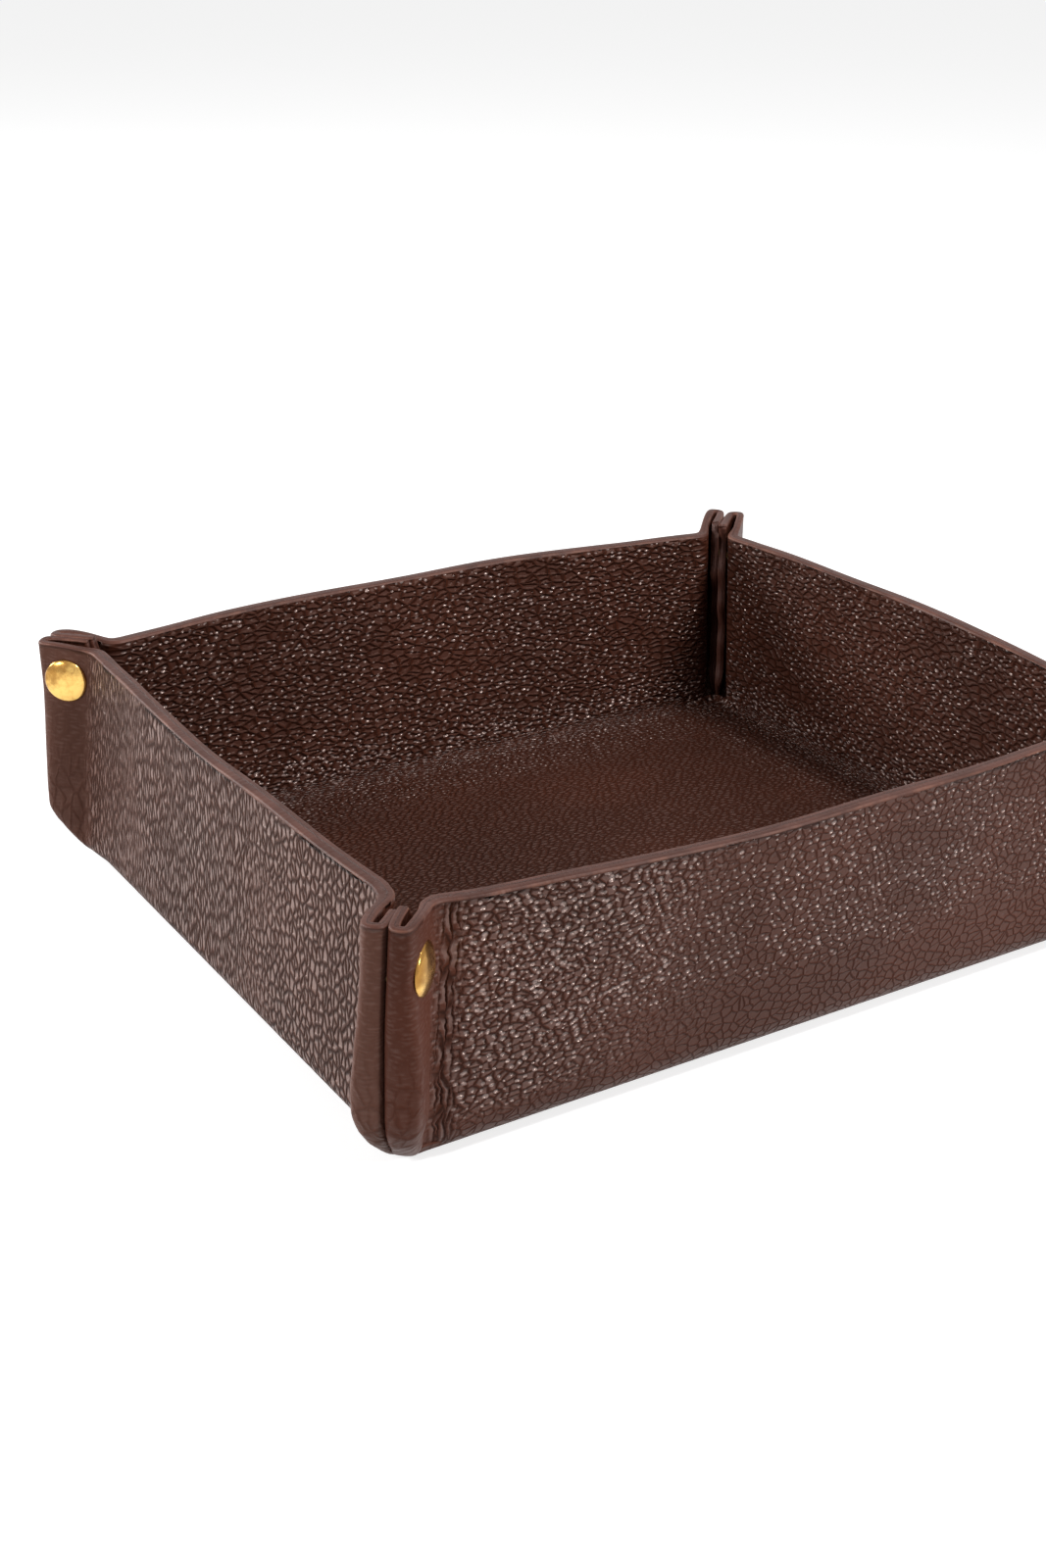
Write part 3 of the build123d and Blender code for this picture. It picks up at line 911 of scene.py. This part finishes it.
# The gold caps get the painted dark reflection on one side
gold = brass("gold", (0.88, 0.56, 0.17), 0.16, dark_reflection=0.8)
old_brass = brass("old_brass", (0.62, 0.45, 0.20), 0.30)

# Leather pieces; the cap's ear is at the -1 end of a wall, and the stud's at its 1 end
base_piece([far_grain, lining_grain, cut_edge])
OUTER = {"front": front_grain, "left": left_grain, "right": far_grain, "back": far_grain}
for wall, (_, _, _, _, cap_end, stud_end) in WALLS.items():
    leathers = [OUTER[wall], lining_grain, cut_edge]
    wall_piece(wall, leathers)
    ear_piece(wall, cap_end, -1, leathers)
    ear_piece(wall, stud_end, 1, leathers)


def stud_place(wall, end, side):
    """Middle of a stud on the ear's outer face, moved with the ear, and its plain place."""
    degrees, half, reach, _, _, _ = WALLS[wall]
    s = STUD_S * math.sqrt(0.5)
    plain = turned(np.array([side * (half - CREASE + s), -reach - s, STUD_Z]), degrees)
    spot = plain.copy()
    spot[:2] += ear_move(EARS.get((wall, end), PLAIN_EAR), STUD_Z)
    spot[2] += STUD_LIFT.get(frozenset((wall, end)), 0.0)
    return lean(spot), plain


def outward(wall, side):
    """Direction in which an ear's outer face looks."""
    return turned(np.array([-side * math.sqrt(0.5), -math.sqrt(0.5), 0.0]), WALLS[wall][0])


def cap_piece(wall, end, side):
    """Domed cap with a rolled rim, on a short barrel."""
    spot, _ = stud_place(wall, end, side)
    out = outward(wall, side)
    up = np.array([0, 0, 1.0])
    across = np.cross(up, out)
    verts, faces, local = [spot + out * CAP_HEIGHT], [], [(0.0, 0.0, 0.0)]
    for r, h in CAP_OUTLINE[1:]:
        for k in range(CAP_TURNS):
            a = 2 * math.pi * k / CAP_TURNS
            ring = across * math.cos(a) + up * math.sin(a)
            verts.append(spot + out * h * CAP_HEIGHT + ring * r * CAP_RADIUS)
            local.append((r * math.cos(a) * CAP_RADIUS, r * math.sin(a) * CAP_RADIUS, 0.0))
    for k in range(CAP_TURNS):
        faces.append((0, 1 + k, 1 + (k + 1) % CAP_TURNS))
    for j in range(len(CAP_OUTLINE) - 2):
        first = 1 + j * CAP_TURNS
        for k in range(CAP_TURNS):
            a, b = first + k, first + (k + 1) % CAP_TURNS
            faces.append((a, a + CAP_TURNS, b + CAP_TURNS, b))
    name = f"{wall}_{end}_gold_cap"
    obj = build(name, np.array(verts), faces, [0] * len(faces), [gold], vectors={"on_cap": local})
    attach(obj, f"{wall}_{end}_ear")
    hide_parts(f"{wall}_{end}_cap")


def moved_copy(wall, end, side, kind, material):
    """A stud piece of the solids, moved with the leather that holds it."""
    node = f"{wall}_{end}_{kind}"
    spot, plain = stud_place(wall, end, side)
    spot = spot - outward(wall, side) * STUD_SHIFT
    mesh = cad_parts[node].data.copy()
    mesh.transform(Matrix.Translation(Vector((spot - plain) * MM)))
    mesh.materials.clear()
    mesh.materials.append(material)
    obj = bpy.data.objects.new(f"{node}_brass", mesh)
    bpy.context.scene.collection.objects.link(obj)
    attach(obj, f"{wall}_{end}_ear")
    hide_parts(node)


for wall, (_, _, _, _, cap_end, stud_end) in WALLS.items():
    cap_piece(wall, cap_end, -1)
    moved_copy(wall, cap_end, -1, "socket", old_brass)
    moved_copy(wall, stud_end, 1, "stud", old_brass)
    moved_copy(wall, stud_end, 1, "eyelet", gold)

# Camera at the photograph's viewpoint: place in mm, turns, and focal length and centre in pixels
CAMERA_AT = (-262.04, -408.72, 238.99)
YAW, PITCH, ROLL = 0.60106, 0.34238, 0.01893
FOCAL_PX, CENTRE_PX = 2197.9, (138.4, -148.8)
IMAGE_HEIGHT = 1600
SENSOR = 36.0
ahead = math.cos(PITCH)
forward = Vector((math.sin(YAW) * ahead, math.cos(YAW) * ahead, -math.sin(PITCH)))
level = forward.cross(Vector((0, 0, 1))).normalized()
upward = level.cross(forward)
right = level * math.cos(ROLL) + upward * math.sin(ROLL)
up = upward * math.cos(ROLL) - level * math.sin(ROLL)
camera_data = bpy.data.cameras.new("camera")
camera_data.sensor_width = SENSOR
camera_data.lens = FOCAL_PX / IMAGE_HEIGHT * SENSOR
camera_data.shift_x = -CENTRE_PX[0] / IMAGE_HEIGHT
camera_data.shift_y = CENTRE_PX[1] / IMAGE_HEIGHT
camera_data.clip_start = 0.01
camera = bpy.data.objects.new("camera", camera_data)
camera.matrix_world = Matrix((
    (right.x, up.x, -forward.x, CAMERA_AT[0] * MM),
    (right.y, up.y, -forward.y, CAMERA_AT[1] * MM),
    (right.z, up.z, -forward.z, CAMERA_AT[2] * MM),
    (0, 0, 0, 1),
))
bpy.context.scene.collection.objects.link(camera)
bpy.context.scene.camera = camera


def background_share(nodes, links):
    """1 for rays that see the background: from the camera, or by way of metal or glass."""
    path = nodes.new("ShaderNodeLightPath")
    share = path.outputs["Is Camera Ray"]
    for name in ("Is Glossy Ray", "Is Transmission Ray"):
        item = nodes.new("ShaderNodeMath")
        item.operation = "MAXIMUM"
        links.new(share, item.inputs[0])
        links.new(path.outputs[name], item.inputs[1])
        share = item.outputs[0]
    return share


# White floor that keeps the tray's shadow: its greys for the tray and for the camera, and its own
# light near the tray and far from it
FLOOR_PLAIN = (0.32, 0.32, 0.32)
FLOOR_SEEN = (0.60, 0.60, 0.60)
GLOW_NEAR, GLOW_FAR = 0.62, 0.80
NEAR, FAR = 0.20, 1.30
FLOOR_SIZE = 12.0
FLOOR_DROP = 0.0002
paper = Nodes("floor_white")
seen = background_share(paper.tree.nodes, paper.tree.links)
paper.set(paper.shader.inputs["Base Color"], paper.colour(seen, FLOOR_PLAIN, FLOOR_SEEN))
paper.shader.inputs["Roughness"].default_value = 0.9
paper.shader.inputs["Specular IOR Level"].default_value = 0.0
paper.shader.inputs["Emission Color"].default_value = (1, 1, 1, 1)
away = paper.node("ShaderNodeVectorMath", operation="LENGTH")
paper.set(away.inputs[0], paper.node("ShaderNodeTexCoord").outputs["Object"])
glow = paper.mix(paper.ramp(away.outputs["Value"], NEAR, FAR), GLOW_NEAR, GLOW_FAR)
paper.set(paper.shader.inputs["Emission Strength"], paper.times(seen, glow))
bpy.ops.mesh.primitive_plane_add(size=FLOOR_SIZE, location=(0, 0, -FLOOR_DROP))
floor = bpy.context.object
floor.name = "floor"
floor.data.materials.append(paper.material)

# World: weak light on the tray, and white where the background is seen
WORLD_LIGHT = 0.14
world = bpy.data.worlds.new("studio")
bpy.context.scene.world = world
world.use_nodes = True
sky = world.node_tree
sky_share = background_share(sky.nodes, sky.links)
strength = sky.nodes.new("ShaderNodeMapRange")
sky.links.new(sky_share, strength.inputs[0])
strength.inputs[3].default_value = WORLD_LIGHT
strength.inputs[4].default_value = 1.0
sky.nodes["Background"].inputs["Color"].default_value = (1, 1, 1, 1)
sky.links.new(strength.outputs[0], sky.nodes["Background"].inputs["Strength"])


# Lamps: place, sides in metres, and power in watts; all look at the same point of the tray
LAMPS = {
    "front": ((0.45, -1.0, 0.60), (0.20, 0.15), 9.0),
    "side": ((-1.15, 0.10, 0.60), (0.35, 0.25), 9.0),
    "back": ((-0.85, 1.00, 0.50), (0.60, 0.35), 13.0),
    "overhead": ((0.42, -0.36, 1.10), (0.25, 0.25), 9.0),
}
LAMP_AIM = Vector((0, 0, 0.03))
for name, (at, size, power) in LAMPS.items():
    data = bpy.data.lights.new(name, "AREA")
    data.shape = "RECTANGLE"
    data.size, data.size_y = size
    data.energy = power
    obj = bpy.data.objects.new(name, data)
    obj.location = at
    obj.rotation_euler = (LAMP_AIM - Vector(at)).to_track_quat("-Z", "Y").to_euler()
    bpy.context.scene.collection.objects.link(obj)

bpy.context.scene.view_settings.view_transform = "Standard"
